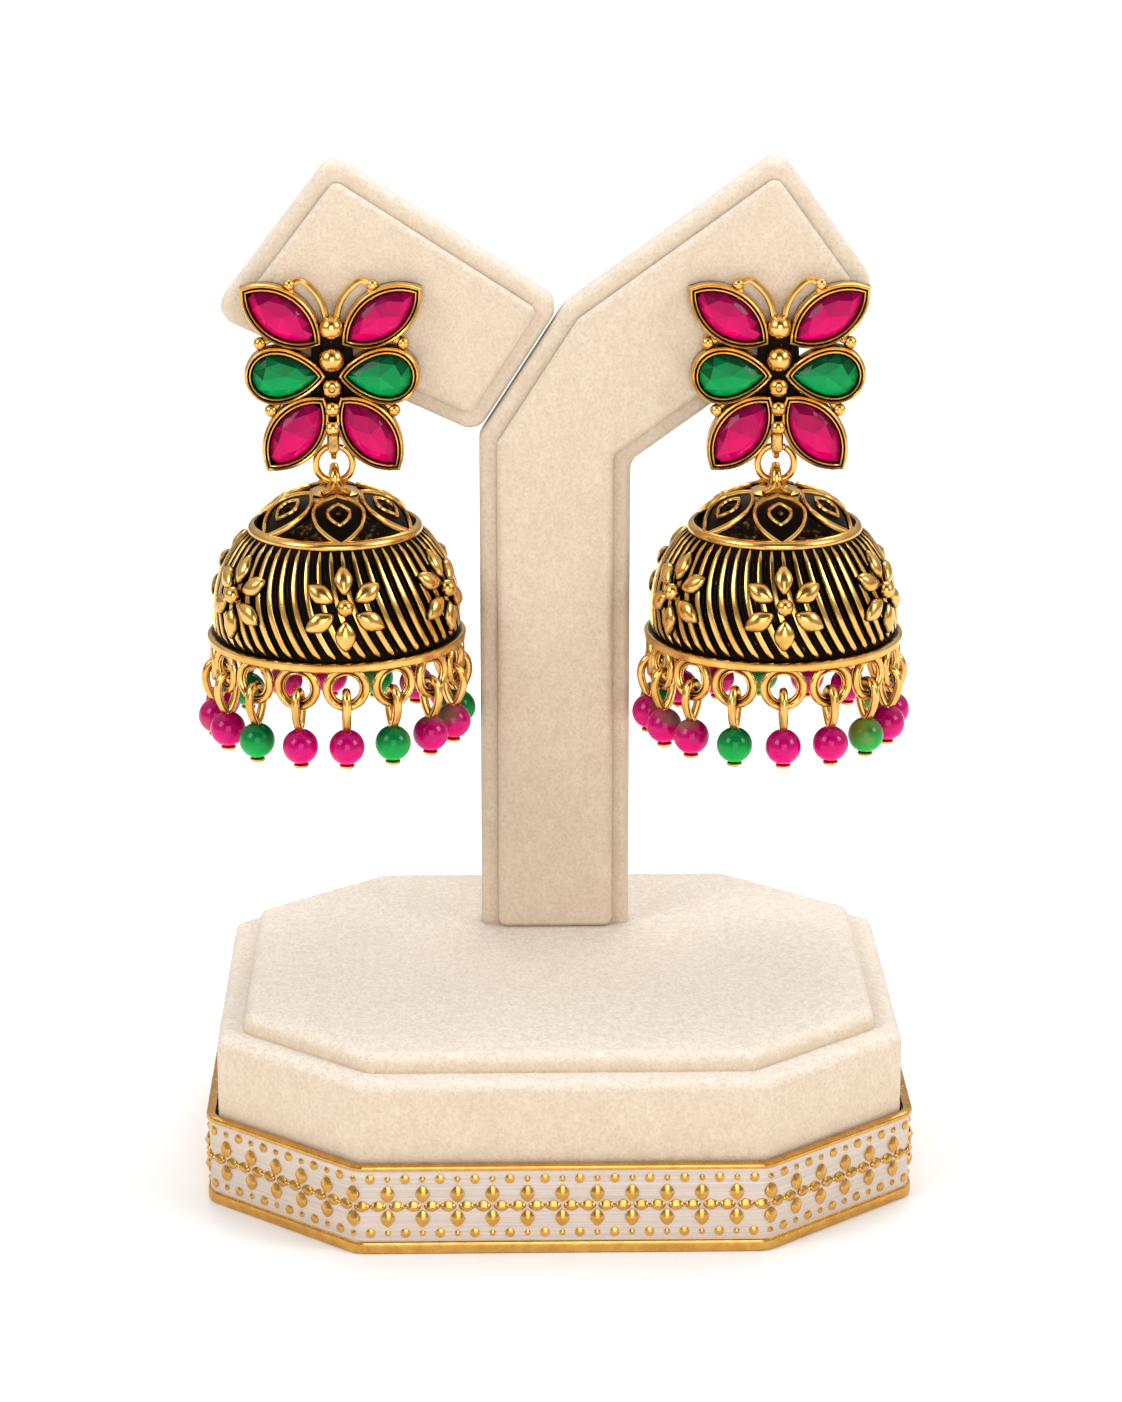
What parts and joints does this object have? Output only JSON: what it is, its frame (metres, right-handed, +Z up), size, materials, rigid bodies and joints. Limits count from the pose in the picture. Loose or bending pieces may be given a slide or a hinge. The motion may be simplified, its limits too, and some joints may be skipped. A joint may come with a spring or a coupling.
{
  "type": "jhumka earring pair on display stand",
  "caption": "Butterfly studs with ruby and emerald coloured stones, each carrying a domed bell with bead drops, shown on a velvet display stand with a metal band.",
  "frame": {"origin": "centre of the base's underside, on the surface it stands on", "axes": "+Z up, -Y towards the viewer, +X to the viewer's right"},
  "size_m": [0.083, 0.0686, 0.1134],
  "materials": {
    "velvet": "short pile velvet",
    "band_metal": "brushed, with raised gold ornament",
    "antique_gold": "polished, with dark patina in the recesses",
    "ruby": "cut and polished",
    "emerald": "cut and polished",
    "pink_bead": "polished",
    "green_bead": "polished"
  },
  "bodies": {
    "stand": {"base_body": "velvet", "base_pad": "velvet", "base_band": "band_metal", "upright_board": "velvet", "upright_pad": "velvet", "left_arm_board": "velvet", "left_arm_pad": "velvet", "left_butterfly_setting": "antique_gold", "left_ear_nut": "antique_gold", "left_ruby_1": "ruby", "left_ruby_2": "ruby", "left_ruby_3": "ruby", "left_ruby_4": "ruby", "left_emerald_1": "emerald", "left_emerald_2": "emerald", "right_butterfly_setting": "antique_gold", "right_ear_nut": "antique_gold", "right_ruby_1": "ruby", "right_ruby_2": "ruby", "right_ruby_3": "ruby", "right_ruby_4": "ruby", "right_emerald_1": "emerald", "right_emerald_2": "emerald"},
    "left_ring": {"left_jump_ring": "antique_gold"},
    "left_bell": {"left_bell": "antique_gold", "left_drop_01": "pink_bead", "left_drop_02": "green_bead", "left_drop_03": "pink_bead", "left_drop_04": "pink_bead", "left_drop_05": "green_bead", "left_drop_06": "pink_bead", "left_drop_07": "pink_bead", "left_drop_08": "green_bead", "left_drop_09": "pink_bead", "left_drop_10": "pink_bead", "left_drop_11": "green_bead", "left_drop_12": "pink_bead", "left_drop_13": "pink_bead", "left_drop_14": "pink_bead", "left_drop_15": "green_bead", "left_drop_16": "pink_bead"},
    "right_ring": {"right_jump_ring": "antique_gold"},
    "right_bell": {"right_bell": "antique_gold", "right_drop_01": "pink_bead", "right_drop_02": "pink_bead", "right_drop_03": "green_bead", "right_drop_04": "pink_bead", "right_drop_05": "pink_bead", "right_drop_06": "green_bead", "right_drop_07": "pink_bead", "right_drop_08": "pink_bead", "right_drop_09": "green_bead", "right_drop_10": "pink_bead", "right_drop_11": "pink_bead", "right_drop_12": "green_bead", "right_drop_13": "pink_bead", "right_drop_14": "pink_bead", "right_drop_15": "pink_bead", "right_drop_16": "green_bead"}
  },
  "joints": [
    {"name": "left_side_swing", "type": "hinge", "parent": "stand", "child": "left_ring", "pos_m": [-0.02535, 0.01052, 0.07845], "axis": [0, 1, 0], "range_deg": [-0.3, 15]},
    {"name": "left_fore_swing", "type": "hinge", "parent": "left_ring", "child": "left_bell", "pos_m": [-0.02535, 0.01052, 0.07635], "axis": [1, 0, 0], "range_deg": [-25, 25]},
    {"name": "right_side_swing", "type": "hinge", "parent": "stand", "child": "right_ring", "pos_m": [0.02535, 0.00992, 0.07845], "axis": [0, -1, 0], "range_deg": [-0.3, 15]},
    {"name": "right_fore_swing", "type": "hinge", "parent": "right_ring", "child": "right_bell", "pos_m": [0.02535, 0.00992, 0.07635], "axis": [1, 0, 0], "range_deg": [-25, 25]}
  ]
}
